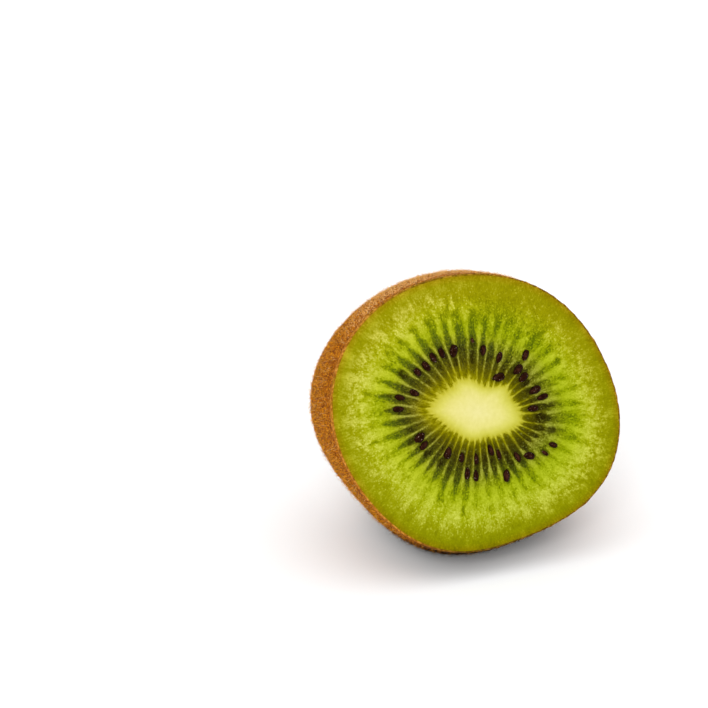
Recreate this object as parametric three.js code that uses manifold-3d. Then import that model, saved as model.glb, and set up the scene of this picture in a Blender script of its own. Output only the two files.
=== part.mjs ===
// Half of a kiwi fruit, cut across its middle, in millimetres with +Z up.
//
// The half is one solid. It is turned about its long axis, then pushed out to the uneven oval
// of a real fruit. It leans back with the cut face towards -Y and rests on a small flat spot
// under its skin. The origin is at the bottom centre of its box.

import * as THREE from "three";
import { mergeVertices } from "three/addons/utils/BufferGeometryUtils.js";
import Module from "manifold-3d";

const CUT_RADIUS = 25.2; // mean radius of the cut face
const DEPTH = 32.5; // from the cut face to the far end
const WIDEST_AT = 0.15; // share of the depth at which the fruit is widest
const BLUNTNESS = 2.25; // 2 gives an ellipsoid's end, and more gives a blunter one
const LEAN = 22; // degrees that the cut face leans back from upright
const FLAT_SPOT_RISE = 0.9; // height of the skin's curve that the flat spot takes away

// Low waves round the cut: how many crests, their height, and one crest's bearing in degrees,
// seen from the front and counted from +X towards the top.
const CUT_WAVES = [
  { crests: 2, height: 1.43, bearing: -14 },
  { crests: 3, height: 0.22, bearing: -9 },
  { crests: 4, height: 0.48, bearing: -28 },
  { crests: 5, height: 0.17, bearing: -34 },
];

// Waves that are highest halfway along the fruit and fade out at the cut and the far end.
// Their height is a share of the radius there.
const BODY_WAVES = [
  { crests: 1, height: 0.025, bearing: 7 },
  { crests: 2, height: 0.025, bearing: 98 },
  { crests: 3, height: 0.01, bearing: 34 },
  { crests: 4, height: 0.016, bearing: -5 },
];

// The far end: a sunken ring round a low boss.
const SCAR = { ringRadius: 5.6, ringDepth: 0.9, ringWidth: 1.7, bossRise: 0.5, bossRadius: 2.6 };
const END_RADIUS = 9.75; // the end's rings are closely spaced out to here

const STEPS_AROUND = 84;
const STEPS_ALONG = 22; // from the cut to END_RADIUS
const STEPS_ON_END = 13; // from END_RADIUS to the axis
const SAME_POINT = 1e-3; // corners closer than this are one
const BLOCK_SIZE = 4 * DEPTH; // larger than the half in every direction

const wasm = await Module();
wasm.setup();

const radians = THREE.MathUtils.degToRad;

// Mean radius as a share of the cut's, at a share of the depth.
function taper(share) {
  const reach = Math.abs(share - WIDEST_AT) / (1 - WIDEST_AT);
  const cutReach = WIDEST_AT / (1 - WIDEST_AT);
  const root = 1 / BLUNTNESS;
  return (1 - reach ** BLUNTNESS) ** root / (1 - cutReach ** BLUNTNESS) ** root;
}

// The share of the depth, past the widest place, at which the fruit has this mean radius.
function shareAt(radius) {
  const widest = CUT_RADIUS * taper(WIDEST_AT);
  return WIDEST_AT + (1 - WIDEST_AT) * (1 - (radius / widest) ** BLUNTNESS) ** (1 / BLUNTNESS);
}

// How far the far end stands in or out at a radius, along the axis.
function scarRise(radius) {
  const ring = Math.exp(-(((radius - SCAR.ringRadius) / SCAR.ringWidth) ** 2));
  const boss = Math.exp(-((radius / SCAR.bossRadius) ** 2));
  return SCAR.bossRise * boss - SCAR.ringDepth * ring;
}

// The profile that is turned: x is the mean radius, and y is the depth behind the cut.
function profile() {
  const points = [new THREE.Vector2(0, 0)];
  const sideShare = shareAt(END_RADIUS);
  for (let i = 0; i < STEPS_ALONG; i++) {
    const share = sideShare * Math.sin((i / STEPS_ALONG) * (Math.PI / 2));
    points.push(new THREE.Vector2(CUT_RADIUS * taper(share), DEPTH * share));
  }
  for (let i = 0; i < STEPS_ON_END; i++) {
    const radius = END_RADIUS * (1 - i / STEPS_ON_END);
    points.push(new THREE.Vector2(radius, DEPTH * shareAt(radius) + scarRise(radius)));
  }
  points.push(new THREE.Vector2(0, DEPTH + scarRise(0)));
  return points;
}

function wave({ crests, height, bearing }, angle) {
  return height * Math.cos(crests * (angle - radians(bearing)));
}

// Radius at a bearing, as a share of the mean radius at that depth.
function outline(angle, share) {
  const cut = CUT_WAVES.reduce((sum, w) => sum + wave(w, angle), 0) / CUT_RADIUS;
  const body = BODY_WAVES.reduce((sum, w) => sum + wave(w, angle), 0);
  return 1 + cut + body * Math.sin(Math.PI * Math.min(share, 1));
}

// Joins a three.js shape's corners by their places alone, which closes it.
function closed(geometry) {
  geometry.deleteAttribute("normal");
  geometry.deleteAttribute("uv");
  return mergeVertices(geometry, SAME_POINT);
}

// The half with its cut in the XY plane facing +Z, and its far end below.
function wholeHalf() {
  const turned = new THREE.LatheGeometry(profile(), STEPS_AROUND);
  turned.rotateX(-Math.PI / 2);
  const geometry = closed(turned);
  const place = geometry.attributes.position;
  for (let i = 0; i < place.count; i++) {
    const angle = Math.atan2(place.getY(i), place.getX(i));
    const pushed = outline(angle, -place.getZ(i) / DEPTH);
    place.setXY(i, place.getX(i) * pushed, place.getY(i) * pushed);
  }
  return geometry;
}

// The block above the ground, which lies a little over the half's lowest point.
function aboveGround(box) {
  const block = new THREE.BoxGeometry(BLOCK_SIZE, BLOCK_SIZE, BLOCK_SIZE);
  block.translate(0, 0, box.min.z + FLAT_SPOT_RISE + BLOCK_SIZE / 2);
  return closed(block);
}

function toManifold(geometry) {
  const vertProperties = new Float32Array(geometry.attributes.position.array);
  const triVerts = new Uint32Array(geometry.index.array);
  return new wasm.Manifold(new wasm.Mesh({ numProp: 3, vertProperties, triVerts }));
}

function toGeometry(manifold) {
  const { vertProperties, triVerts } = manifold.getMesh();
  const geometry = new THREE.BufferGeometry();
  geometry.setAttribute("position", new THREE.BufferAttribute(vertProperties, 3));
  geometry.setIndex(new THREE.BufferAttribute(triVerts, 1));
  return geometry;
}

const leaning = wholeHalf();
leaning.rotateX(radians(90 - LEAN));
leaning.computeBoundingBox();
const ground = toManifold(aboveGround(leaning.boundingBox));
const half = toGeometry(toManifold(leaning).intersect(ground));

half.computeBoundingBox();
const middle = half.boundingBox.getCenter(new THREE.Vector3());
half.translate(-middle.x, -middle.y, -half.boundingBox.min.z);
half.computeVertexNormals();

const flesh = new THREE.MeshStandardMaterial({ color: "#93961b", roughness: 0.45, metalness: 0 });
const fruit = new THREE.Mesh(half, flesh);
fruit.name = "fruit_half";

const part = new THREE.Group();
part.add(fruit);

export default part;
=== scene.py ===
import math

import bmesh
import bpy
import numpy as np
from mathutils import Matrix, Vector, noise
from mathutils.bvhtree import BVHTree


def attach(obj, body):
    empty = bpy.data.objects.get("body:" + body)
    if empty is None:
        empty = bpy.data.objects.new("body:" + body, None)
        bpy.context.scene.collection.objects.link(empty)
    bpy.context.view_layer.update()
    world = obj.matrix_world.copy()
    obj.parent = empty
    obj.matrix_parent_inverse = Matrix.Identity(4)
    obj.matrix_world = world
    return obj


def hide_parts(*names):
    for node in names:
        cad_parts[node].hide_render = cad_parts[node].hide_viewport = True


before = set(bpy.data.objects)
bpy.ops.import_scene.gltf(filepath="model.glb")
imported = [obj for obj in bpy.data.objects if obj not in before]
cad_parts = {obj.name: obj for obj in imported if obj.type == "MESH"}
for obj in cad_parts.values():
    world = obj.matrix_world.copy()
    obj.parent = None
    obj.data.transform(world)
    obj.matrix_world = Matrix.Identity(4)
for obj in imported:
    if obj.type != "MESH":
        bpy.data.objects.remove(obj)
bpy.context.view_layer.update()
MM = 0.001

# ---------------------------------------------------------------------------------------------
# Flesh. Inside its skin a kiwi fruit is one body of wet green flesh round a pale woody core.
# Thin pale walls run out from the core like spokes, and between them lie dark chambers of clear
# pulp that hold the seeds. A knife has cut it straight across, so all of this shows as a disc.

RINGS = 122  # from the middle of the cut to the skin
RING_SPACING = 0.8  # less than 1 sets the rings closer together towards the skin
STEPS_ROUND = 720
DEPTH_RINGS = 8  # behind the cut, inside the skin
INSIDE_SCALE = 0.96  # how large the flesh is behind the cut, as a share of the skin
EDGE_OVERLAP = 0.04 * MM  # how far the cut flesh runs out under the skin's edge
FOCUS = 5.5 * MM  # half the line in the core that the walls spread from
CORE_TILT = math.radians(-12)
CORE_RISE = 0.12 * MM  # how far the core stands proud of the cut
WALL_RISE = 0.05 * MM
PULP_SINK = 0.15 * MM  # how far the clear pulp sinks between the walls
EDGE_SINK = 0.06 * MM

# The core's angular outline: bearing in degrees from +X, and distance in millimetres.
CORE_CORNERS = [
    (170, 9.2), (157, 8.4), (141, 7.1), (127, 6.5), (113, 6.8), (95, 6.0), (79, 5.1), (67, 4.8),
    (48, 5.2), (31, 7.2), (11, 7.0), (-8, 8.4), (-20, 9.0), (-32, 7.7), (-49, 6.1), (-77, 4.7),
    (-108, 5.1), (-148, 5.3), (-165, 6.2), (179, 7.6),
]

# The pale walls' bearings, and how far each one's foot is turned where it leaves the core, in
# degrees. Then, for the chamber that follows each wall, turning clockwise: how far out its dark
# pulp reaches, how far its clear green end, and how strong that green is. The reaches are shares
# of the way from the core to the skin.
CHAMBERS = [
    (178.5, 1, 0.58, 0.76, 0.8), (170.3, 1, 0.55, 0.66, 0.5), (161.7, 3, 0.55, 0.66, 0.6),
    (153.5, 0, 0.59, 0.66, 0.5), (144.5, 0, 0.58, 0.68, 0.6), (136.3, -1, 0.60, 0.70, 0.7),
    (127.5, -2, 0.60, 0.72, 0.8), (118.6, 0, 0.58, 0.72, 0.8), (110.3, 2, 0.58, 0.74, 1.0),
    (101.0, 2, 0.59, 0.74, 0.9), (91.8, 2, 0.52, 0.66, 0.8), (84.6, 1, 0.44, 0.60, 0.6),
    (76.0, 0, 0.28, 0.45, 0.3), (69.0, 0, 0.28, 0.62, 0.7), (60.0, 0, 0.30, 0.70, 1.0),
    (49.3, 0, 0.27, 0.64, 0.5), (39.5, 3, 0.26, 0.64, 0.9), (31.0, 3, 0.28, 0.58, 0.4),
    (20.6, -2, 0.32, 0.64, 0.5), (13.4, -1, 0.33, 0.66, 0.9), (4.0, -1, 0.30, 0.58, 0.5),
    (-6.5, -4, 0.27, 0.62, 0.6), (-15.5, -1, 0.26, 0.64, 0.5), (-23.7, 2, 0.24, 0.62, 0.3),
    (-31.3, 5, 0.29, 0.56, 0.3), (-39.7, 2, 0.43, 0.62, 0.5), (-50.2, 1, 0.48, 0.64, 0.5),
    (-59.0, 0, 0.49, 0.66, 0.5), (-65.8, 0, 0.42, 0.50, 0.1), (-74.2, -1, 0.38, 0.52, 0.3),
    (-82.7, 0, 0.38, 0.60, 0.1), (-90.6, 0, 0.44, 0.74, 1.0), (-98.8, 0, 0.49, 0.58, 0.3),
    (-107.2, 0, 0.51, 0.62, 0.4), (-115.3, 0, 0.52, 0.58, 0.2), (-123.8, 0, 0.52, 0.56, 0.1),
    (-130.6, 0, 0.52, 0.58, 0.2), (-138.7, 0, 0.48, 0.60, 0.3), (-147.2, -2, 0.51, 0.62, 0.3),
    (-156.5, -4, 0.60, 0.76, 0.9), (-164.7, -4, 0.56, 0.72, 0.5), (-172.6, -1, 0.48, 0.60, 0.3),
]

# The seeds on the cut: place across and up, length and width in millimetres, the long axis's
# bearing in degrees, and how much of it the pulp covers, where 1 leaves only a dark patch.
SEEDS = [
    (-2.7, 11.0, 2.2, 1.6, 75, 0.0), (-4.9, 10.9, 2.0, 1.2, 108, 0.1), (-6.6, 10.4, 1.9, 1.2, 115, 0.2),
    (-8.1, 9.2, 1.9, 1.3, 123, 0.1), (-9.7, 8.3, 1.8, 1.3, 128, 0.3), (-12.5, 8.5, 2.0, 1.2, 135, 1.0),
    (-10.9, 5.0, 1.8, 1.3, 146, 0.2), (-13.6, 4.6, 1.9, 1.2, 158, 0.3), (-14.1, 2.7, 2.1, 1.2, 174, 0.2),
    (-11.1, -2.8, 2.2, 1.7, 42, 0.0), (-10.5, -4.2, 1.8, 1.3, 40, 0.2), (-10.1, -5.5, 1.8, 1.1, 35, 1.0),
    (-6.3, -6.1, 2.1, 1.5, 64, 0.0), (-8.0, -7.6, 1.8, 1.1, 52, 1.0), (-3.9, -7.3, 1.7, 1.1, 76, 0.2),
    (-3.3, -10.2, 2.0, 1.2, 79, 0.1), (-1.8, -10.8, 2.0, 1.2, 85, 0.1), (-1.3, -8.0, 1.9, 1.0, 88, 0.2),
    (1.6, -6.9, 1.9, 1.1, 104, 0.1), (3.0, -7.9, 2.0, 1.1, 100, 0.6), (3.8, -11.8, 2.3, 1.5, 80, 0.0),
    (6.3, -8.8, 1.9, 1.1, 112, 0.1), (8.5, -9.0, 2.1, 1.5, 165, 0.0), (11.4, -8.9, 1.8, 1.1, 140, 0.5),
    (13.2, -7.8, 1.8, 1.1, 155, 0.1), (13.3, -5.2, 1.9, 1.1, 168, 1.0), (11.7, -2.6, 1.9, 1.2, 176, 1.0),
    (10.4, -1.0, 1.9, 1.2, 0, 0.0), (14.1, -0.8, 1.6, 0.9, 5, 1.0), (12.5, 0.7, 2.1, 1.2, 12, 0.1),
    (11.3, 2.1, 2.2, 1.5, 18, 0.0), (9.5, 4.6, 2.1, 1.4, 32, 0.0), (8.7, 6.1, 2.2, 1.5, 34, 0.0),
    (10.3, 8.2, 2.2, 1.3, 62, 0.0), (4.8, 5.3, 2.3, 1.6, 8, 0.0), (5.5, 8.7, 2.0, 1.3, 64, 0.1),
    (2.7, 10.2, 2.0, 1.2, 80, 0.1), (1.0, 12.1, 1.8, 1.0, 85, 0.9), (0.5, 9.2, 1.6, 0.9, 88, 1.0),
    (9.8, 3.6, 1.7, 1.1, 28, 1.0), (-2.6, 9.1, 1.3, 0.8, 88, 1.0),
]

TINY = 1e-6  # a length in metres, or a turn in radians, that is as good as none
LARGE_FACES = 40  # how many of the largest faces are tried for the widest flat part
FLAT_COSINE = 0.99999  # two faces are in one flat part when their normals agree this well


def merged_copy(node):
    """A bmesh of a CAD node, with its loose triangles joined."""
    bm = bmesh.new()
    bm.from_mesh(node.data)
    bmesh.ops.remove_doubles(bm, verts=bm.verts, dist=TINY)
    return bm


def widest_flat(bm):
    """The faces of the widest flat part of a mesh."""
    largest = sorted(bm.faces, key=lambda face: -face.calc_area())[:LARGE_FACES]
    flats = [[f for f in bm.faces if f.normal.dot(big.normal) > FLAT_COSINE] for big in largest]
    return max(flats, key=lambda flat: sum(f.calc_area() for f in flat))


solid = merged_copy(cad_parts["fruit_half"])
cut_faces = widest_flat(solid)
cut_area = sum(f.calc_area() for f in cut_faces)
cut_normal = cut_faces[0].normal.copy()
cut_centre = sum((f.calc_area() * f.calc_center_median() for f in cut_faces), Vector()) / cut_area
across = Vector((1, 0, 0))
upward = cut_normal.cross(across)

rim_verts = {v for f in cut_faces for v in f.verts if set(v.link_faces) - set(cut_faces)}
rim = sorted(
    (math.atan2((v.co - cut_centre).dot(upward), (v.co - cut_centre).dot(across)),
     (v.co - cut_centre).length)
    for v in rim_verts
)
rim_bearings, rim_distances = np.array(rim).T


def rim_at(bearing):
    """How far the cut's edge is from its centre."""
    return np.interp(bearing, rim_bearings, rim_distances, period=2 * math.pi)


core_corners = np.array(sorted((math.radians(a), d * MM) for a, d in CORE_CORNERS))


def core_at(bearing):
    """How far the core's edge is from the cut's centre."""
    return np.interp(bearing, *core_corners.T, period=2 * math.pi)


def fan(x, y):
    """Places in the fan of the walls, which spreads from a line in the core instead of a point: the
    bearing that a wall keeps all along, how far out, and the metres that a radian of bearing spans.
    """
    spokes = np.arccosh((x + 1j * y) * np.exp(-1j * CORE_TILT) / FOCUS + 1e-9j)
    spread = FOCUS * np.hypot(np.sinh(spokes.real), np.sin(spokes.imag))
    return spokes.imag, spokes.real, spread


def in_world(x, y, depth):
    """Points given on the cut, and by their depth behind it, as places in the frame."""
    axes = np.array([across, upward, -cut_normal])
    return np.array(cut_centre) + np.stack([x, y, depth], 1) @ axes


# The skin's true shape, rounded between the CAD solid's facets, to be found by rays from inside.
bmesh.ops.delete(solid, geom=cut_faces, context="FACES")
guide_mesh = bpy.data.meshes.new("guide")
solid.to_mesh(guide_mesh)
solid.free()
guide = bpy.data.objects.new("guide", guide_mesh)
bpy.context.scene.collection.objects.link(guide)
rounding = guide.modifiers.new("rounding", "SUBSURF")
rounding.levels = rounding.render_levels = 2
skin_tree = BVHTree.FromObject(guide, bpy.context.evaluated_depsgraph_get())
bpy.data.objects.remove(guide)


def skin_point(bearing, turn):
    """The skin's place at a bearing, with turn from 0 at the cut to a quarter turn at the far end."""
    outward = across * math.cos(bearing) + upward * math.sin(bearing)
    if turn <= TINY:
        return cut_centre + outward * float(rim_at(bearing))
    ray = outward * math.cos(turn) - cut_normal * math.sin(turn)
    return skin_tree.ray_cast(cut_centre - cut_normal * TINY, ray)[0]


def spun(profile, steps):
    """A bmesh of a profile, given as (distance, height) pairs from axis to axis, turned round Z."""
    bm = bmesh.new()
    verts = [bm.verts.new((x, 0, z)) for x, z in profile]
    edges = [bm.edges.new(pair) for pair in zip(verts, verts[1:])]
    bmesh.ops.spin(
        bm, geom=verts + edges, axis=(0, 0, 1), cent=(0, 0, 0), angle=2 * math.pi,
        steps=steps, use_merge=True,
    )
    bmesh.ops.remove_doubles(bm, verts=bm.verts, dist=TINY)
    bmesh.ops.recalc_face_normals(bm, faces=bm.faces)
    return bm


def new_piece(name, bm):
    """A smooth-shaded object made from a bmesh."""
    mesh = bpy.data.meshes.new(name)
    bm.to_mesh(mesh)
    bm.free()
    mesh.shade_smooth()
    piece = bpy.data.objects.new(name, mesh)
    bpy.context.scene.collection.objects.link(piece)
    return piece


def places(mesh):
    """Where a mesh's vertices are."""
    found = np.zeros(len(mesh.vertices) * 3, np.float32)
    mesh.vertices.foreach_get("co", found)
    return found.reshape(-1, 3).astype(float)


def set_places(mesh, found):
    """Moves a mesh's vertices."""
    mesh.vertices.foreach_set("co", found.astype(np.float32).ravel())
    mesh.update()


def set_field(mesh, name, values, kind="FLOAT"):
    """Stores a number or a vector for each vertex, for the materials to read."""
    field = mesh.attributes.new(name, kind, "POINT")
    slot = "vector" if kind == "FLOAT_VECTOR" else "value"
    field.data.foreach_set(slot, np.asarray(values, np.float32).ravel())


def grainy(points, scale, seed=0.0):
    """Smooth noise from -1 to 1 at points, with scale cells to the metre along each axis."""
    spots = points * scale + seed
    return np.array([noise.noise(spot) for spot in spots])


def cloudy(points, scale, seed=0.0):
    """Like grainy, with three finer layers of detail on top."""
    spots = points * scale + seed
    return np.array([noise.fractal(spot, 0.6, 2.0, 4) for spot in spots])


def ease(low, high, values):
    """A smooth step from 0 at low to 1 at high, which may lie either way round."""
    share = np.clip((values - low) / (high - low), 0, 1)
    return share * share * (3 - 2 * share)


# The disc is spun flat with a radius of 1, with a skirt below that becomes the sides.
disc = [((i / RINGS) ** RING_SPACING, 0.0) for i in range(RINGS + 1)]
skirt = [(1 - i / DEPTH_RINGS, -i / DEPTH_RINGS) for i in range(1, DEPTH_RINGS + 1)]
flesh = new_piece("flesh", spun(disc + skirt, STEPS_ROUND))
spot = places(flesh.data)
bearing = np.arctan2(spot[:, 1], spot[:, 0])
share = np.hypot(spot[:, 0], spot[:, 1])
on_cut = spot[:, 2] > -TINY
inner_rim = rim_at(bearing) + EDGE_OVERLAP
radius = share * inner_rim
x, y = radius * np.cos(bearing), radius * np.sin(bearing)

# How far out each point lies: 0 at the core's edge, 1 at the skin, and below 0 inside the core.
CORE_SHARE = 0.45  # the way from the core's middle to its edge, on the same scale
core_edge = core_at(bearing)
flat = np.stack([x, y, np.zeros(len(x))], 1)
ring = np.where(
    radius < core_edge,
    CORE_SHARE * (radius / core_edge - 1),
    (radius - core_edge) / (inner_rim - core_edge),
)

# Each point's chamber, how far across it the point lies, and its distance from the nearest wall.
fan_bearing, fan_reach, spread = fan(x, y)
walls, feet, dark_ends, clear_ends, greens = np.array(CHAMBERS).T
turned_foot = np.interp(
    fan_bearing, np.radians(walls[::-1]), np.radians(feet[::-1]), period=2 * math.pi
)
walls = np.radians(np.append(walls, walls[0] - 360))
polar = np.stack([np.cos(fan_bearing), np.sin(fan_bearing), fan_reach * 0.35], 1)
warped = fan_bearing - turned_foot * (1 - np.clip(ring / 0.38, 0, 1)) ** 1.3
warped += 0.016 * grainy(polar, 4.0) + 0.005 * grainy(flat, 0.6 / MM)
warped = (warped - walls[-1]) % (2 * math.pi) + walls[-1]
chamber = np.clip(np.searchsorted(-walls, -warped) - 1, 0, len(dark_ends) - 1)
chamber_width = walls[chamber] - walls[chamber + 1]
between = (warped - walls[chamber + 1]) / chamber_width
from_wall = np.minimum(between, 1 - between) * chamber_width * spread
nearest_wall = np.where(between > 0.5, chamber, (chamber + 1) % len(dark_ends))

# Noise from coarse to fine, 3 mm to 0.6 mm, then two kinds that run outwards along the fan.
broad = grainy(flat, 0.33 / MM, 5.0)
mist = grainy(flat, 0.8 / MM, 9.0)
mottle = grainy(flat, 1.7 / MM, 2.0)
fibres = cloudy(polar, 13.0, 11.0)
hairlines = grainy(polar, 48.0, 17.0)

# The core's edge is frayed, and it reaches a little way out along the foot of each wall.
near_core = np.exp(-((ring / 0.10) ** 2))
wall_foot = np.exp(-((from_wall / (0.22 * MM)) ** 2))
near_core *= ease(-0.07, 0.0, ring)
ring = ring - (0.026 * hairlines + 0.020 * fibres + 0.045 * wall_foot - 0.012) * near_core
ring += (0.020 * mist + 0.016 * fibres) * ease(0.02, -0.06, ring)


def lobe(centre, width):
    """1 in the direction of a bearing in degrees, fading to 0 on both sides."""
    aside = (fan_bearing - math.radians(centre) + math.pi) % (2 * math.pi) - math.pi
    return np.exp(-((aside / width) ** 2))


# Painted light and shade: the flesh is painted paler towards the light at the upper left, as if
# light fell through it there, and painted darkest below.
LIGHT_BEARING = math.radians(140)
sunny = np.cos(bearing - LIGHT_BEARING) * ease(0.0, 0.6, share)
left, upper_right, below = lobe(188, 0.52), lobe(80, 0.62), lobe(-105, 0.65)

# The pale walls: thin at the core, and wider and fainter outwards.
rng = np.random.default_rng(7)
wall_strength = rng.uniform(0.70, 1.0, len(dark_ends))[nearest_wall]
wall_width = (0.20 + 0.95 * np.clip(ring, 0, 1) ** 1.5) * MM
wall = np.exp(-((from_wall / wall_width) ** 2)) * wall_strength * np.clip(0.9 + 0.6 * fibres, 0, 1)
wall *= ease(-0.02, 0.10 + 0.06 * sunny, ring) * (1 - 0.8 * ease(0.50, 0.75, ring))


def spindle(end, fullness, power):
    """How deep each point lies inside its chamber's tapering shape, in metres."""
    reach = np.clip((ring + 0.03 * fibres) / end[chamber], 0, 1)
    return (fullness * (1 - reach**power) - np.abs(2 * between - 1)) * chamber_width * spread / 2


# The dark pulp of each chamber, the clear green pulp past it, and a green leaf shape at the tip.
# Painted light: towards the upper left the dark pulp is held back farther from the core.
start = 0.030 + 0.070 * sunny + 0.030 * left
softness = (0.22 + 0.18 * ease(0.25, 0.45, ring)) * MM
dark = ease(-0.4, 1.0, spindle(dark_ends, 0.92, 4.6) / softness)
dark *= ease(-0.040, 0.060, ring - start + 0.03 * fibres)
# Painted light and shade: near the core the dark pulp is painted paler on the upper left, left and upper
# right, and darker below.
painted_lighting = 0.40 * sunny + 0.46 * left + 0.16 * upper_right - 0.14 * below
shade = 0.86 - painted_lighting * (1 - ease(0.12, 0.30, ring))
dark *= np.clip(shade + 0.50 * fibres + 0.60 * hairlines + 0.12 * mist, 0, 1)
clear = ease(-0.15 * MM, 0.35 * MM, spindle(clear_ends, 0.80, 3.5)) * ease(0.22, 0.42, ring)
clear *= np.clip(0.10 + 0.40 * greens[chamber] + 0.55 * mist + 0.50 * mottle + 0.25 * fibres, 0, 1)
leaf_along = (ring + 0.05 * mist + 0.02 * fibres - 0.86 * clear_ends[chamber]) / 0.070
leaf_across = (2 * between - 1 + 0.45 * mist + 0.30 * mottle) / 0.42
leaf = ease(1.3, 0.3, np.hypot(leaf_along, leaf_across)) * np.clip(1.15 * greens[chamber] - 0.05, 0, 1)

# Pale granules fill a belt outside the chambers, and it's broadest to the two sides. Round the
# upper right it's thin and greener.
to_sides = np.cos(2 * (fan_bearing - math.radians(160)))
belt_end = 0.82 + 0.06 * to_sides - 0.05 * upper_right - 0.08 * below + 0.05 * broad + 0.02 * mist
belt = ease(0.45, 0.72, ring) * (1 - ease(belt_end - 0.08, belt_end + 0.09, ring))
lace = cloudy(flat, 0.85 / MM, 23.0)
granules = 0.26 * fibres + 0.34 * lace + 0.22 * mottle + 0.16 * hairlines + 0.12 * broad
granules *= 1 - 0.60 * below * ease(0.52, 0.72, ring)
outer_band = ease(0.70, 0.95, ring)
inner = ease(-0.05, 0.05, ring) * (1 - belt) * (1 - outer_band)
greener = upper_right * ease(0.40, 0.55, ring) * (1 - outer_band)
# Painted shade: near the core the pale walls are fainter below.
wall *= 1 - 0.40 * below * (1 - ease(0.20, 0.40, ring))
lower = ease(-0.2, 0.6, -np.sin(bearing))
near_middle = ease(0.02, 0.08, ring) * (1 - ease(0.15, 0.32, ring))

# The flesh's grain: 0 is the dark pulp, 0.5 the flesh itself, and 1 the pale walls and granules.
grain = 0.50 + 0.46 * wall + 0.03 * belt - 0.44 * greener
# Painted light: near the core the flesh is paler on the left and upper left. Painted shade: the outer
# band is darker below.
grain += (0.12 * left + 0.06 * np.maximum(sunny, 0)) * near_middle
grain += 0.07 * lower * (ease(0.42, 0.55, ring) - ease(0.66, 0.76, ring)) - 0.12 * below * outer_band
grain += 0.04 * lobe(-35, 0.5) * belt
grain += (0.16 * mist + 0.14 * mottle + 0.20 * fibres) * ease(0.0, -0.10, ring)
grain += granules * belt + (0.40 * fibres + 0.26 * hairlines + 0.14 * mist - 0.04) * inner
# Painted light: the outer band is also paler towards the light.
grain += (0.20 * broad + 0.12 * mist + 0.09 * mottle + 0.10 * sunny - 0.06) * outer_band
grain = 0.50 + 0.50 * np.tanh(2 * (grain - 0.50))
grain *= 1 - 0.96 * np.maximum.reduce([dark, 0.70 * clear, 0.90 * leaf]) * (1 - 0.55 * wall)
grain += (0.12 * hairlines + 0.14 * fibres) * dark
calm = 1 - ease(-0.08, 0.04, ring)

# The dark pulp is blotched, and pulp over a covered seed shows it as a dark patch. Round every seed
# the patch also spreads a dark halo into the pulp, which is painted shade.
blotches = ease(0.05, 0.60, 0.7 * grainy(flat, 1.2 / MM, 13.0) + 0.8 * fibres)
stain_end = 0.34 + 0.15 * left
stain_and_shade = 0.70 * blotches * dark * ease(0.08, 0.18, ring) * (1 - ease(stain_end, stain_end + 0.12, ring))
for place_x, place_y, length, width, turned, cover in SEEDS:
    direction = math.radians(turned)
    aside_x, aside_y = x - place_x * MM, y - place_y * MM
    lengthwise = aside_x * math.cos(direction) + aside_y * math.sin(direction)
    sideways = aside_y * math.cos(direction) - aside_x * math.sin(direction)
    reach = np.hypot(lengthwise / (length * 0.5 * MM), sideways / (width * 0.5 * MM))
    patch = (1 - ease(0.7, 1.5, reach + 0.25 * mottle)) * (0.50 + 0.35 * cover)
    stain_and_shade = np.maximum(stain_and_shade, patch * np.clip(0.85 + 0.9 * hairlines, 0, 1))

# Relief of the cut: the core stands a little proud, and the clear pulp sinks between the walls.
relief = CORE_RISE * ease(0.10, -0.10, ring) - PULP_SINK * dark + WALL_RISE * wall
relief += (0.04 * mottle + 0.03 * hairlines) * MM * ease(0.0, 0.1, ring)
edge = ease(0.985, 1.0, ring)
depth = EDGE_SINK * edge - relief * (1 - edge)

world = in_world(x, y, depth)
for i in np.flatnonzero(~on_cut):
    quarter = math.pi / 2 * min(-spot[i, 2], 1.0)
    at = skin_point(bearing[i], quarter)
    world[i] = np.array(cut_centre + (at - cut_centre) * INSIDE_SCALE)
set_places(flesh.data, world)
set_field(flesh.data, "ring", np.where(on_cut, ring, 1.0))
set_field(flesh.data, "grain", np.clip(grain, 0, 1))
set_field(flesh.data, "stain_and_shade", stain_and_shade * on_cut)
set_field(flesh.data, "calm", calm)
set_field(flesh.data, "pulp", dark * (1 - wall) * on_cut)
speckled = ease(0.02, 0.20, ring) * (1 - 0.55 * dark) * (1 - 0.35 * ease(0.78, 0.90, ring))
set_field(flesh.data, "speckled", speckled * on_cut)
set_field(flesh.data, "sunny", sunny * on_cut)
WARM_BEARING = math.radians(50)
set_field(flesh.data, "warm", np.cos(bearing - WARM_BEARING) * ease(0.55, 0.90, share) * on_cut)
set_field(flesh.data, "fan", polar, "FLOAT_VECTOR")


def linear(code):
    """An sRGB hex colour as linear red, green, blue and alpha."""
    parts = [int(code[i:i + 2], 16) / 255 for i in (0, 2, 4)]
    return (*[p / 12.92 if p <= 0.04045 else ((p + 0.055) / 1.055) ** 2.4 for p in parts], 1.0)


def add(tree, kind, links=None, stops=None, **settings):
    """Adds a shader node with its settings, its inputs' links or values, and a ramp's stops."""
    made = tree.nodes.new("ShaderNode" + kind)
    for name, value in settings.items():
        setattr(made, name, value)
    for name, value in (links or {}).items():
        if isinstance(value, bpy.types.NodeSocket):
            tree.links.new(value, made.inputs[name])
        else:
            made.inputs[name].default_value = value
    if stops:
        while len(made.color_ramp.elements) < len(stops):
            made.color_ramp.elements.new(1.0)
        for element, (position, colour) in zip(made.color_ramp.elements, stops):
            element.position = position
            element.color = linear(colour)
    return made


def new_material(name):
    """A material with an empty node tree, and that tree."""
    material = bpy.data.materials.new(name)
    material.use_nodes = True
    material.node_tree.nodes.clear()
    return material, material.node_tree


# Ripe kiwi flesh, freshly cut with a knife: a wet satin surface. The colours run from the core's
# edge to the skin, for the dark pulp, the flesh itself and its pale walls and granules.
RING_LOW, RING_HIGH = -0.6, 1.0


def along_ring(stops):
    """Ramp stops given at places between the core's edge, 0, and the skin, 1."""
    return [((at - RING_LOW) / (RING_HIGH - RING_LOW), colour) for at, colour in stops]


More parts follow.
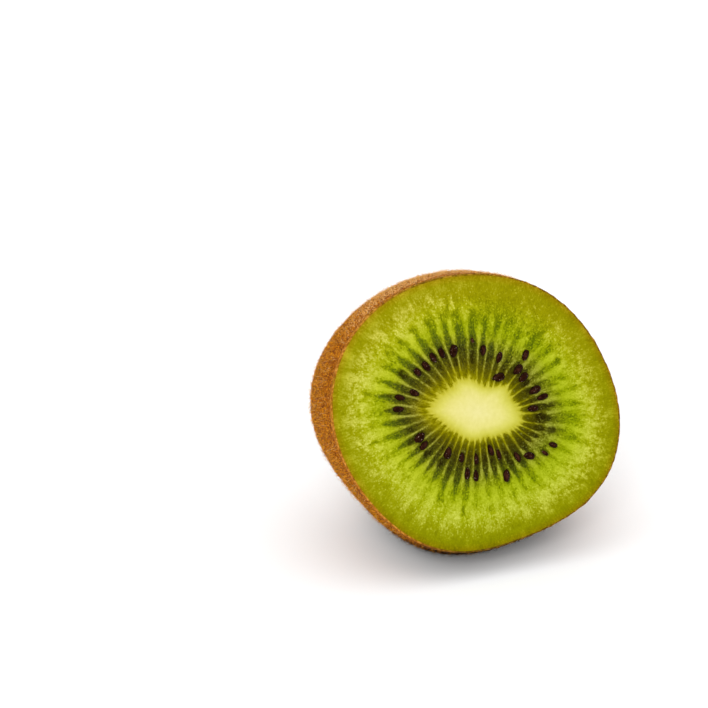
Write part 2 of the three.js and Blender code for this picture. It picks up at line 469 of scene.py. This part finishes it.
pulp, tree = new_material("cut_kiwi_flesh")
ring_field = add(tree, "Attribute", attribute_name="ring")
grain_field = add(tree, "Attribute", attribute_name="grain")
stain_and_shade_field = add(tree, "Attribute", attribute_name="stain_and_shade")
calm_field = add(tree, "Attribute", attribute_name="calm")
pulp_field = add(tree, "Attribute", attribute_name="pulp")
speckled_field = add(tree, "Attribute", attribute_name="speckled")
sunny_field = add(tree, "Attribute", attribute_name="sunny")
warm_field = add(tree, "Attribute", attribute_name="warm")
fan_field = add(tree, "Attribute", attribute_name="fan")
spots = add(tree, "TexCoord")
ring_place = add(tree, "MapRange", {"Value": ring_field.outputs["Fac"], "From Min": RING_LOW,
                                    "From Max": RING_HIGH})
dark_tone = add(tree, "ValToRGB", {"Fac": ring_place.outputs["Result"]}, along_ring([
    (-0.6, "f4e8b0"), (-0.2, "e2d87a"), (-0.05, "c0b83a"), (0.008, "665e02"), (0.06, "524c04"),
    (0.16, "38320a"), (0.28, "2e2e0e"), (0.36, "384010"), (0.46, "4c5c0e"), (0.57, "5a6a06"),
    (0.68, "788002"), (0.80, "868502"), (0.92, "7c7902"), (1.0, "6a5c02"),
]))
middle_tone = add(tree, "ValToRGB", {"Fac": ring_place.outputs["Result"]}, along_ring([
    (-0.6, "fbefc2"), (-0.2, "efe496"), (-0.10, "e0d86c"), (-0.04, "cec548"), (-0.008, "beb52e"),
    (0.012, "968e00"), (0.06, "867e00"), (0.13, "746d04"), (0.20, "6a670e"), (0.27, "6c6d10"),
    (0.34, "7c8110"), (0.42, "8e9708"), (0.52, "9ba704"), (0.69, "aeb20e"), (0.80, "a2a108"),
    (0.92, "979404"), (1.0, "987e04"),
]))
pale_tone = add(tree, "ValToRGB", {"Fac": ring_place.outputs["Result"]}, along_ring([
    (-0.6, "fdf3ce"), (-0.2, "f8eeb0"), (-0.06, "ece37e"), (0.0, "dcd454"), (0.06, "b8b018"),
    (0.16, "a8a448"), (0.27, "a8a94a"), (0.36, "b0b43c"), (0.46, "b4be22"), (0.57, "c6cd38"),
    (0.70, "d8d862"), (0.82, "d6d25a"), (0.92, "c0bb2c"), (1.0, "c0a424"),
]))

# Grains and dots about 0.3 mm across, and strands along the fan, which the calm core nearly lacks.
fine = add(tree, "TexNoise", {"Vector": spots.outputs["Object"], "Scale": 3.6 / MM, "Detail": 3.0,
                              "Roughness": 0.6})
strands = add(tree, "TexNoise", {"Vector": fan_field.outputs["Vector"], "Scale": 90.0, "Detail": 3.0,
                                 "Roughness": 0.55})
dots = add(tree, "TexNoise", {"Vector": spots.outputs["Object"], "Scale": 3.0 / MM, "Detail": 1.0})
fine_shift = add(tree, "MapRange", {"Value": fine.outputs["Fac"], "From Min": 0.3, "From Max": 0.7,
                                    "To Min": -0.17, "To Max": 0.17})
strand_shift = add(tree, "MapRange", {"Value": strands.outputs["Fac"], "From Min": 0.3,
                                      "From Max": 0.7, "To Min": -0.15, "To Max": 0.15})
dot_shift = add(tree, "MapRange", {"Value": dots.outputs["Fac"], "From Min": 0.57, "From Max": 0.72,
                                   "To Min": 0.0, "To Max": 0.42})
speckles = add(tree, "Math", {0: fine_shift.outputs["Result"], 1: dot_shift.outputs["Result"]})
speckle_shift = add(tree, "Math", {0: speckles.outputs[0], 1: speckled_field.outputs["Fac"]},
                    operation="MULTIPLY")
all_shifts = add(tree, "Math", {0: speckle_shift.outputs[0], 1: strand_shift.outputs["Result"]})
shift_share = add(tree, "MapRange", {"Value": calm_field.outputs["Fac"], "To Min": 1.0,
                                     "To Max": 0.12})
fine_grain = add(tree, "Math", {0: all_shifts.outputs[0], 1: shift_share.outputs["Result"]},
                 operation="MULTIPLY")
grained = add(tree, "Math", {0: grain_field.outputs["Fac"], 1: fine_grain.outputs[0]})

# The grain picks between the three tones. Dark stains lie over them, partly painted shade round the
# seeds, and over those, pale painted glints on the dark pulp.
low_half = add(tree, "MapRange", {"Value": grained.outputs[0], "From Max": 0.5})
high_half = add(tree, "MapRange", {"Value": grained.outputs[0], "From Min": 0.5})
darker = add(tree, "Mix", {"Factor": low_half.outputs["Result"], "A": dark_tone.outputs["Color"],
                           "B": middle_tone.outputs["Color"]}, data_type="RGBA")
paler = add(tree, "Mix", {"Factor": high_half.outputs["Result"], "A": darker.outputs["Result"],
                          "B": pale_tone.outputs["Color"]}, data_type="RGBA")
stained_and_shaded = add(tree, "Mix", {"Factor": stain_and_shade_field.outputs["Fac"], "A": paler.outputs["Result"],
                            "B": linear("1c1003")}, data_type="RGBA")
# Painted glints: small pale grey-green spots on the dark pulp, where its wet surface would glint.
pulp_glints = add(tree, "TexNoise", {"Vector": spots.outputs["Object"], "Scale": 2.7 / MM, "Detail": 2.0,
                                "Roughness": 0.6})
pulp_glint_size = add(tree, "MapRange", {"Value": pulp_glints.outputs["Fac"], "From Min": 0.58, "From Max": 0.74,
                                    "To Max": 0.65})
pulp_glint_share = add(tree, "Math", {0: pulp_glint_size.outputs["Result"], 1: pulp_field.outputs["Fac"]},
                  operation="MULTIPLY")
pulp_glinting = add(tree, "Mix", {"Factor": pulp_glint_share.outputs[0], "A": stained_and_shaded.outputs["Result"],
                            "B": linear("8e8e44")}, data_type="RGBA")

# Painted light: the flesh is painted a little brighter towards the light. It is also a little
# yellower on its upper right.
sunny_tint = add(tree, "MapRange", {"Value": sunny_field.outputs["Fac"], "From Min": -1.0,
                                    "From Max": 1.0})
tints = add(tree, "ValToRGB", {"Fac": sunny_tint.outputs["Result"]}, [(0.0, "dbe1c7"), (1.0, "e9e7e9")])
tinted = add(tree, "Mix", {"Factor": 1.0, "A": pulp_glinting.outputs["Result"],
                           "B": tints.outputs["Color"]}, data_type="RGBA", blend_type="MULTIPLY")
warm_tint = add(tree, "MapRange", {"Value": warm_field.outputs["Fac"], "From Min": -1.0})
warmths = add(tree, "ValToRGB", {"Fac": warm_tint.outputs["Result"]}, [(0.0, "f6fdf0"), (1.0, "fffaec")])
warmed = add(tree, "Mix", {"Factor": 1.0, "A": tinted.outputs["Result"],
                           "B": warmths.outputs["Color"]}, data_type="RGBA", blend_type="MULTIPLY")
surface = add(tree, "BsdfPrincipled", {
    "Base Color": warmed.outputs["Result"], "Roughness": 0.40, "IOR": 1.36,
    "Specular IOR Level": 0.08, "Specular Tint": linear("e8e040"),
})
add(tree, "OutputMaterial", {"Surface": surface.outputs["BSDF"]})
flesh.data.materials.append(pulp)
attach(flesh, "root")
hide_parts("fruit_half")

# ---------------------------------------------------------------------------------------------
# Seeds. Small flattened drops with a hard, wet, dark brown coat, pointed at the end towards the
# core. The knife has laid them bare, and each sits partly sunk in the pulp of its chamber.

SEED_THICKNESS = 0.9 * MM
SEED_RISE = 0.32 * MM  # how far a bare seed stands out of the cut
SEED_SLIMNESS = 1.07  # a seed is longer and slimmer than the part of it that the pulp leaves bare
HIDDEN_COVER = 0.9  # a seed that the pulp covers more than this is only a dark patch

seed_mesh = bmesh.new()
painted_highlight = seed_mesh.verts.layers.float.new("painted_highlight")
for place_x, place_y, length, width, turned, cover in SEEDS:
    if cover > HIDDEN_COVER:
        continue
    made = bmesh.ops.create_uvsphere(seed_mesh, u_segments=24, v_segments=14, radius=1.0)
    direction = math.radians(turned)
    if place_x * math.cos(direction) + place_y * math.sin(direction) > 0:
        direction += math.pi
    lean = rng.normal(0, 0.12)
    sink = SEED_RISE * (1 - 1.3 * cover) - SEED_THICKNESS / 2
    middle = cut_centre + (across * place_x + upward * place_y) * MM + cut_normal * sink
    long_way = across * math.cos(direction) + upward * math.sin(direction)
    side_way = cut_normal.cross(long_way)
    for vert in made["verts"]:
        along_seed = vert.co.z
        taper = 1 - 0.30 * along_seed**3 - 0.10 * along_seed
        out = Vector((vert.co.x, vert.co.y)) * taper
        # Painted highlight: how near each point lies to the middle of the seed's top, where a paler
        # brown is painted.
        vert[painted_highlight] = max(out.y, 0) * math.exp(-((out.x / 0.35) ** 2) - (along_seed / 0.50) ** 2)
        dimple = 1 + 0.03 * noise.noise(vert.co * 4 + Vector((place_x, place_y, 0)))
        vert.co = middle + dimple * (
            long_way * along_seed * length * SEED_SLIMNESS * MM / 2
            + side_way * out.x * width / SEED_SLIMNESS * MM / 2
            + cut_normal * (out.y * SEED_THICKNESS / 2 + along_seed * lean * length * MM / 2)
        )
seeds = new_piece("seeds", seed_mesh)

# Seed coat: hard, smooth and wet, nearly black, with a painted highlight of paler brown on its crown
# and small painted glints.
coat, tree = new_material("wet_seed_coat")
spots = add(tree, "TexCoord")
pits = add(tree, "TexNoise", {"Vector": spots.outputs["Object"], "Scale": 2.5 / MM, "Detail": 2.0})
browns = add(tree, "ValToRGB", {"Fac": pits.outputs["Fac"]}, [(0.35, "100402"), (0.70, "260e06")])
# Painted highlight: a paler brown on each seed's crown, broken into patches by noise.
painted_highlight_field = add(tree, "Attribute", attribute_name="painted_highlight")
highlight_breakup = add(tree, "TexNoise", {"Vector": spots.outputs["Object"], "Scale": 0.9 / MM, "Detail": 1.0})
highlight_patches = add(tree, "MapRange", {"Value": highlight_breakup.outputs["Fac"], "From Min": 0.42, "From Max": 0.66})
painted_highlight_share = add(tree, "Math", {0: painted_highlight_field.outputs["Fac"], 1: highlight_patches.outputs["Result"]},
                  operation="MULTIPLY")
highlighted = add(tree, "Mix", {"Factor": painted_highlight_share.outputs[0], "A": browns.outputs["Color"],
                            "B": linear("44241a")}, data_type="RGBA")
# Painted glints: small pale spots on the coat.
glints = add(tree, "TexNoise", {"Vector": spots.outputs["Object"], "Scale": 3.4 / MM, "Detail": 1.0})
glint_size = add(tree, "MapRange", {"Value": glints.outputs["Fac"], "From Min": 0.67, "From Max": 0.76,
                                    "To Max": 0.50})
glinting = add(tree, "Mix", {"Factor": glint_size.outputs["Result"], "A": highlighted.outputs["Result"],
                             "B": linear("a08c80")}, data_type="RGBA")
bumps = add(tree, "Bump", {"Height": pits.outputs["Fac"], "Strength": 0.5, "Distance": 0.05 * MM})
surface = add(tree, "BsdfPrincipled", {
    "Base Color": glinting.outputs["Result"], "Roughness": 0.20, "Specular IOR Level": 0.09,
    "Specular Tint": linear("f0a080"),
    "Normal": bumps.outputs["Normal"],
})
add(tree, "OutputMaterial", {"Surface": surface.outputs["BSDF"]})
seeds.data.materials.append(coat)
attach(seeds, "root")

# ---------------------------------------------------------------------------------------------
# Skin. A thin leathery brown rind that wraps the flesh. At the far end it sinks into a ring round
# the raised scar. The knife has left its edge bare round the cut; on the left it is painted
# brighter, painted light as if shining through it.

SKIN_THICKNESS = 0.20 * MM
SKIN_STEPS = 360
SKIN_RINGS = 120
SKIN_RING_SPACING = 1.15  # more than 1 sets the rings closer together towards the cut
LINING_RINGS = 48  # as many as keep it behind the skin's folds at the far end
LINING_RADIUS = 0.5  # of the spun dome, whose outside has a radius of 1
EDGE_RADIUS = 0.8  # of a ring along the middle of the bare edge
FLOOR_GAP = 0.3 * MM  # the skin is smooth and bald from the floor up to here
# Painted shade: the skin's underside and its hairs are painted darker near the floor.
DARK_FOOT = (3.5 * MM, 10.0 * MM)  # the skin's underside is dark, and pales between these heights

# The rind is spun as a dome in two layers, the lining and the outside, joined by the bare edge.
lining_turns = [math.pi / 2 * i / LINING_RINGS for i in range(LINING_RINGS, -1, -1)]
dome = [(LINING_RADIUS * math.cos(t), -LINING_RADIUS * math.sin(t)) for t in lining_turns]
dome += [(EDGE_RADIUS, 0.0)]
turns = [math.pi / 2 * (i / SKIN_RINGS) ** SKIN_RING_SPACING for i in range(SKIN_RINGS + 1)]
dome += [(math.cos(t), -math.sin(t)) for t in turns]
skin = new_piece("skin", spun(dome, SKIN_STEPS))
spot = places(skin.data)
bearing = np.arctan2(spot[:, 1], spot[:, 0])
turn = np.arctan2(-spot[:, 2], np.hypot(spot[:, 0], spot[:, 1]))
layer = np.linalg.norm(spot, axis=1)
thickness = SKIN_THICKNESS * (1 - layer) / (1 - LINING_RADIUS)
found = np.array([skin_point(b, t) for b, t in zip(bearing, turn)])
inwards = np.array(cut_centre) - found
inwards /= np.linalg.norm(inwards, axis=1)[:, None]
set_places(skin.data, found + inwards * thickness[:, None])

# The outside is lumpy, and the edge flares out raggedly where the knife has pulled at it.
outer = layer > 0.99
normals = np.array([v.normal for v in skin.data.vertices])
lumps = 0.07 * grainy(found, 1.1 / MM) + 0.06 * grainy(found, 0.38 / MM, 4.0)
lumps = np.where(outer & (found[:, 2] > FLOOR_GAP), lumps, 0.0)
on_lining = layer < (LINING_RADIUS + EDGE_RADIUS) / 2
flare = (0.07 + 0.12 * grainy(found, 0.9 / MM, 7.0)) * (1 - ease(0.0, 0.05, turn)) * ~on_lining
set_places(skin.data, places(skin.data) + (normals * lumps[:, None] - inwards * flare[:, None]) * MM)

off_axis = np.hypot((found - cut_centre) @ across, (found - cut_centre) @ upward)
set_field(skin.data, "cut_edge", np.where(outer, 1 - ease(0.010, 0.045, turn), 1.0))
# Painted light: the bare edge is painted brighter towards the left.
LEFT_BEARING = math.radians(185)
set_field(skin.data, "sunny", ease(0.1, 0.9, np.cos(bearing - LEFT_BEARING)))
# Painted shade: the skin is painted darker near the floor, a little less on the bare edge's lip.
behind_lip = 0.7 + 0.3 * outer * ease(0.004, 0.014, turn)
set_field(skin.data, "low", (1 - ease(*DARK_FOOT, found[:, 2])) * behind_lip)
set_field(skin.data, "scar", np.where(turn > 0.8, 1 - ease(4.5 * MM, 8.5 * MM, off_axis), 0.0))

# Skin: dull and leathery, blotched in browns half a millimetre across, with a dull edge that is
# painted orange on the left as painted light, a darker scar, and painted shade on its underside.
rind, tree = new_material("brown_kiwi_skin")
spots = add(tree, "TexCoord")
edge_field = add(tree, "Attribute", attribute_name="cut_edge")
scar_field = add(tree, "Attribute", attribute_name="scar")
sunny_field = add(tree, "Attribute", attribute_name="sunny")
low_field = add(tree, "Attribute", attribute_name="low")
blotches = add(tree, "TexNoise", {"Vector": spots.outputs["Object"], "Scale": 1.9 / MM,
                                  "Detail": 3.0, "Roughness": 0.6})
browns = add(tree, "ValToRGB", {"Fac": blotches.outputs["Fac"]}, [
    (0.32, "542600"), (0.46, "864404"), (0.60, "b06808"), (0.72, "c87e10"),
])
scarred = add(tree, "Mix", {"Factor": scar_field.outputs["Fac"], "A": browns.outputs["Color"],
                            "B": linear("4a3014")}, data_type="RGBA")
dull_edge = add(tree, "ValToRGB", {"Fac": blotches.outputs["Fac"]}, [
    (0.38, "624606"), (0.52, "82600c"), (0.66, "b08424"),
])
# Painted light: the browns of the bare edge where light shines through it, on the left.
bright_edge = add(tree, "ValToRGB", {"Fac": blotches.outputs["Fac"]}, [
    (0.38, "865012"), (0.50, "ae6e1c"), (0.64, "cc8c3a"),
])
edge_browns = add(tree, "Mix", {"Factor": sunny_field.outputs["Fac"], "A": dull_edge.outputs["Color"],
                                "B": bright_edge.outputs["Color"]}, data_type="RGBA")
edged = add(tree, "Mix", {"Factor": edge_field.outputs["Fac"], "A": scarred.outputs["Result"],
                          "B": edge_browns.outputs["Result"]}, data_type="RGBA")
# Painted shade: near the floor the skin is mixed towards a near-black brown.
shaded_underside = add(tree, "Mix", {"Factor": low_field.outputs["Fac"], "A": edged.outputs["Result"],
                           "B": linear("24170a")}, data_type="RGBA")
bumps = add(tree, "Bump", {"Height": blotches.outputs["Fac"], "Strength": 0.6,
                           "Distance": 0.1 * MM})
surface = add(tree, "BsdfPrincipled", {
    "Base Color": shaded_underside.outputs["Result"], "Roughness": 0.75, "Specular IOR Level": 0.04,
    "Normal": bumps.outputs["Normal"],
})
add(tree, "OutputMaterial", {"Surface": surface.outputs["BSDF"]})
skin.data.materials.append(rind)
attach(skin, "root")

# ---------------------------------------------------------------------------------------------
# Hairs. A felt of short, stiff, golden-tan hairs covers the skin, pressed nearly flat, with
# longer ones standing out of it. Between them lie dark rusty scales.

# For each kind: how many, length and lift at the root in degrees, both from least to most, width
# in millimetres like the length, straight stretches, length at the cut as a share of the rest, how
# much paler it is painted at the top of the fruit as painted light, and its darkest and lightest
# colours.
HAIR_KINDS = {
    "fuzz": (47000, (0.50, 1.00), (6, 28), 0.075, 1, 0.12, 0.42, "964a00", "ffa60e"),
    "bristles": (15000, (0.80, 1.50), (14, 50), 0.050, 2, 0.12, 0.42, "b26a08", "f8b23c"),
    "scurf": (24000, (0.35, 0.70), (12, 40), 0.080, 1, 0.12, 0.66, "180800", "622e00"),
    "strays": (2200, (1.00, 1.80), (35, 75), 0.034, 2, 0.60, 0.42, "b88040", "f4d090"),
}
HAIR_SIDES = 3
ROOT_DEPTH = 0.04 * MM  # how far under the skin a hair starts
LOWEST_HAIR = 0.03 * MM  # hairs that would reach the floor lie just above it
SHORT_BAND = 2.5 * MM  # how far behind the cut the hairs reach their full length
# Painted light: hairs are painted paler at the top of the fruit.
PALE_TOP = (39 * MM, 48 * MM)  # the heights between which hairs turn paler, towards the light

# A spin leaves its faces in an order of its own each run. Here they are sorted by ring and step,
# and each one's corners start from the same one, so that the same hairs grow every time.
quads = [p for p in skin.data.polygons if all(outer[i] and turn[i] > TINY for i in p.vertices)]
middles = np.array([spot[list(p.vertices)].mean(axis=0) for p in quads])
middle_turns = np.arctan2(-middles[:, 2], np.hypot(middles[:, 0], middles[:, 1]))
middle_steps = np.floor(np.arctan2(middles[:, 1], middles[:, 0]) * SKIN_STEPS / (2 * math.pi))
order = np.lexsort((middle_steps, np.searchsorted(turns, middle_turns)))
quads = [quads[i] for i in order]
middles, middle_turns = middles[order], middle_turns[order]


def corners_of(quad, middle, middle_turn):
    """Four corners of a face in turn, from the one nearest the cut on the face's first side."""
    ids = list(quad.vertices)
    first = min(
        ids,
        key=lambda i: (turn[i] > middle_turn, middle[0] * spot[i, 1] - middle[1] * spot[i, 0] > 0),
    )
    return [ids[(ids.index(first) + corner) % len(ids)] for corner in range(4)]


areas = np.array([p.area for p in quads])
face_normals = np.array([p.normal for p in quads])
quad_corners = places(skin.data)[
    np.array([corners_of(*each) for each in zip(quads, middles, middle_turns)])
]


def hairs(name, count, length, lift, width, stretches, at_cut, top_light, darkest, lightest):
    """One kind of hair as one mesh: three-sided slivers, straight or bent halfway. They are too
    many for an operator each, so their corners are worked out all at once.
    """
    chosen = rng.choice(len(quads), count, p=areas / areas.sum())
    s, t = rng.random((2, count, 1))
    c = quad_corners[chosen]
    roots = (c[:, 0] * (1 - s) + c[:, 1] * s) * (1 - t) + (c[:, 3] * (1 - s) + c[:, 2] * s) * t
    normal = face_normals[chosen]
    tufts = grainy(roots, 2.6 / MM, 21.0)
    keep = (roots[:, 2] > FLOOR_GAP) & (tufts > -0.22 + 0.2 * rng.random(count))
    roots, normal, tufts = roots[keep], normal[keep], tufts[keep]
    count = len(roots)

    # Hairs lie towards the far end, each turned aside at random, in locks that drift slowly.
    backward = -np.array(cut_normal) - normal * (normal @ -np.array(cut_normal))[:, None]
    backward /= np.linalg.norm(backward, axis=1)[:, None] + 1e-9
    sideways = np.cross(normal, backward)
    swirl = 1.6 * grainy(roots, 0.42 / MM, 3.0) + rng.normal(0, 0.60, count)
    lay = backward * np.cos(swirl)[:, None] + sideways * np.sin(swirl)[:, None]
    raised = np.radians(rng.uniform(*lift, count))[:, None]
    behind_cut = (np.array(cut_centre) - roots) @ np.array(cut_normal)
    lengths = rng.uniform(*length, count)[:, None] * MM
    lengths *= at_cut + (1 - at_cut) * ease(0.0, SHORT_BAND, behind_cut)[:, None]
    breadth = width * MM * rng.uniform(0.7, 1.2, count)[:, None]
    line = [roots - normal * ROOT_DEPTH]
    for stretch in range(stretches):
        rise = raised * (1 - 0.55 * stretch)
        bend = lay + 0.35 * stretch * np.cross(normal, lay) * rng.normal(0, 1, count)[:, None]
        step = bend * np.cos(rise) + normal * np.sin(rise)
        line.append(line[-1] + step * lengths / stretches)
    for place in line[1:]:
        place[:, 2] = np.maximum(place[:, 2], LOWEST_HAIR)

    beside = np.cross(lay, normal)
    above = np.cross(beside, lay)
    corners = []
    for stretch, place in enumerate(line[:-1]):
        girth = breadth * (1 - 0.25 * stretch)
        for side in range(HAIR_SIDES):
            angle = 0.5 + 2 * math.pi * side / HAIR_SIDES
            corners.append(place + (beside * math.cos(angle) + above * math.sin(angle)) * girth / 2)
    corners.append(line[-1])
    per_hair = len(corners)
    verts = np.stack(corners, 1).reshape(-1, 3)

    # One hair's triangles, closed at the root, repeated for every hair.
    pairs = [(side, (side + 1) % HAIR_SIDES) for side in range(HAIR_SIDES)]
    pattern = [(2, 1, 0)]
    for stretch in range(stretches - 1):
        low = HAIR_SIDES * stretch
        high = low + HAIR_SIDES
        pattern += [(low + a, low + b, high + b) for a, b in pairs]
        pattern += [(low + a, high + b, high + a) for a, b in pairs]
    low = HAIR_SIDES * (stretches - 1)
    pattern += [(low + a, low + b, per_hair - 1) for a, b in pairs]
    first = np.arange(count)[:, None, None] * per_hair
    faces = (first + np.array(pattern)[None]).reshape(-1, 3)
    mesh = bpy.data.meshes.new(name)
    mesh.from_pydata(verts, [], faces)
    mesh.shade_smooth()
    piece = bpy.data.objects.new(name, mesh)
    bpy.context.scene.collection.objects.link(piece)
    shades = np.minimum(0.66 + 0.4 * tufts + 0.60 * (rng.random(count) - 0.5), 0.85)
    # Painted shade darkens most hairs near the floor, and painted light makes those at the top paler.
    shades -= 0.80 * (1 - ease(*DARK_FOOT, roots[:, 2])) * (rng.random(count) < 0.88)
    shades += top_light * ease(*PALE_TOP, roots[:, 2])
    set_field(mesh, "shade", np.repeat(np.clip(shades, 0, 1), per_hair))

    # Dry hair: dull, each one of a single brown between its kind's darkest and lightest. Below those a
    # near-black is painted shade near the floor, and above them a pale tan is painted light at the top.
    strands, tree = new_material(name + "_hair")
    shade = add(tree, "Attribute", attribute_name="shade")
    tones = add(tree, "ValToRGB", {"Fac": shade.outputs["Fac"]}, [
        (0.0, "1c1008"), (0.25, darkest), (0.85, lightest), (1.0, "ffcc80"),
    ])
    surface = add(tree, "BsdfPrincipled", {"Base Color": tones.outputs["Color"], "Roughness": 0.7,
                                           "Specular IOR Level": 0.02})
    add(tree, "OutputMaterial", {"Surface": surface.outputs["BSDF"]})
    mesh.materials.append(strands)
    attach(piece, "root")


for kind, settings in HAIR_KINDS.items():
    hairs(kind, *settings)

# ---------------------------------------------------------------------------------------------
# Husk. What is left of the flower: thin dry sepals, dark brown and brittle, which lie ragged in
# a ring round the scar of the far end, with shorter ones standing inside it.

HUSK_COUNT = 26
HUSK_RING = 3.2 * MM
HUSK_WIDTH = (0.9 * MM, 1.8 * MM)
HUSK_THICKNESS = 0.30 * MM
SCAR_DEPTH = 32 * MM  # from the cut to the scar

# The sepals that lie flat and the short upright ones inside them: how far from the axis, as a
# share of the ring, the length, and how far they lean outwards for each step that they rise.
FLAT_SEPALS = ((0.85, 1.20), (1.5 * MM, 2.6 * MM), (1.2, 3.0))
UPRIGHT_SEPALS = ((0.50, 0.80), (0.8 * MM, 1.5 * MM), (-0.5, 0.8))

husk_mesh = bmesh.new()
for i in range(HUSK_COUNT):
    stands = 2 * math.pi * (i + rng.uniform(-0.3, 0.3)) / HUSK_COUNT
    ring_shares, lengths, leans = UPRIGHT_SEPALS if i % 3 == 0 else FLAT_SEPALS
    from_axis = HUSK_RING * rng.uniform(*ring_shares)
    length = rng.uniform(*lengths)
    width = rng.uniform(*HUSK_WIDTH)
    lean = rng.uniform(*leans)
    curl = rng.uniform(-0.25, 0.20)
    root = skin_point(stands, math.acos(from_axis / SCAR_DEPTH))
    outward = across * math.cos(stands) + upward * math.sin(stands)
    round_ring = outward.cross(cut_normal)
    growing = (outward * lean - cut_normal).normalized()
    facing = round_ring.cross(growing)
    made = bmesh.ops.create_uvsphere(husk_mesh, u_segments=12, v_segments=10, radius=1.0)
    for vert in made["verts"]:
        along_husk = (vert.co.z + 1) / 2
        ragged = noise.noise(vert.co * 2.5 + Vector((7 * i, 0, 0)))
        vert.co = (
            root + growing * (along_husk - 0.2) * length * (1 + 0.2 * ragged)
            + round_ring * vert.co.x * width * (0.5 - 0.22 * along_husk + 0.2 * ragged)
            + facing * (vert.co.y * HUSK_THICKNESS / 2 + curl * along_husk**2 * length)
        )
husk = new_piece("husk", husk_mesh)

# Dry husk: matt, dark and fibrous.
dry, tree = new_material("dry_brown_husk")
spots = add(tree, "TexCoord")
fibre = add(tree, "TexNoise", {"Vector": spots.outputs["Object"], "Scale": 2.2 / MM, "Detail": 3.0})
browns = add(tree, "ValToRGB", {"Fac": fibre.outputs["Fac"]}, [(0.35, "1c0f06"), (0.68, "5a3a1c")])
surface = add(tree, "BsdfPrincipled", {"Base Color": browns.outputs["Color"], "Roughness": 0.85,
                                       "Specular IOR Level": 0.1})
add(tree, "OutputMaterial", {"Surface": surface.outputs["BSDF"]})
husk.data.materials.append(dry)
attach(husk, "root")

# ---------------------------------------------------------------------------------------------
# Stage. A plain floor of pale paper, lit evenly by a white studio and by two large soft lamps, one
# on the camera's side and one overhead.

FLOOR_REACH = 3.0
floor_mesh = bmesh.new()
bmesh.ops.create_grid(floor_mesh, x_segments=1, y_segments=1, size=FLOOR_REACH)
floor = new_piece("floor", floor_mesh)
paper, tree = new_material("pale_paper")
surface = add(tree, "BsdfPrincipled", {"Base Color": linear("fafafa"), "Roughness": 0.9,
                                       "Specular IOR Level": 0.1})
add(tree, "OutputMaterial", {"Surface": surface.outputs["BSDF"]})
floor.data.materials.append(paper)

world_light = bpy.data.worlds.new("studio")
world_light.use_nodes = True
sky = world_light.node_tree.nodes["Background"]
sky.inputs["Color"].default_value = (1, 1, 1, 1)
sky.inputs["Strength"].default_value = 0.56
bpy.context.scene.world = world_light
bpy.context.scene.view_settings.view_transform = "Standard"


def lamp(name, towards, strength, softness):
    """A wide soft lamp, far off in a direction, with its softness in degrees."""
    light = bpy.data.lights.new(name, "SUN")
    light.energy = strength
    light.angle = math.radians(softness)
    holder = bpy.data.objects.new(name, light)
    holder.rotation_euler = (-Vector(towards)).to_track_quat("-Z", "Y").to_euler()
    bpy.context.scene.collection.objects.link(holder)


lamp("key", (-0.44, -0.74, 0.46), 1.4, 30)
lamp("top", (-0.10, 0.00, 1.0), 1.5, 100)

# The camera looks down on the half from its left through a long lens, with the cut's centre to the
# right of the middle of its view and below it.
IMAGE_WIDTH = 708
AIM = (477, 412)  # where the cut's centre shows, in pixels from the left and the top
PIXELS_PER_MM = 5.8
CAMERA_DISTANCE = 0.600
CAMERA_BEARING = math.radians(-21.65)
CAMERA_RISE = math.radians(23.5)
right_hand = Vector((math.cos(CAMERA_BEARING), math.sin(CAMERA_BEARING), 0))
backward = Vector((
    math.sin(CAMERA_BEARING) * math.cos(CAMERA_RISE),
    -math.cos(CAMERA_BEARING) * math.cos(CAMERA_RISE),
    math.sin(CAMERA_RISE),
))
over = backward.cross(right_hand)
offset = [(pixel - IMAGE_WIDTH / 2) / PIXELS_PER_MM * MM for pixel in AIM]
eye = bpy.data.objects.new("camera", bpy.data.cameras.new("camera"))
eye.data.sensor_width = 36.0
eye.data.lens = CAMERA_DISTANCE / MM * PIXELS_PER_MM / IMAGE_WIDTH * eye.data.sensor_width
eye.data.clip_start, eye.data.clip_end = 0.01, 10.0
eye.location = cut_centre + backward * CAMERA_DISTANCE - right_hand * offset[0] + over * offset[1]
eye.rotation_euler = (-backward).to_track_quat("-Z", "Y").to_euler()
bpy.context.scene.collection.objects.link(eye)
bpy.context.scene.camera = eye
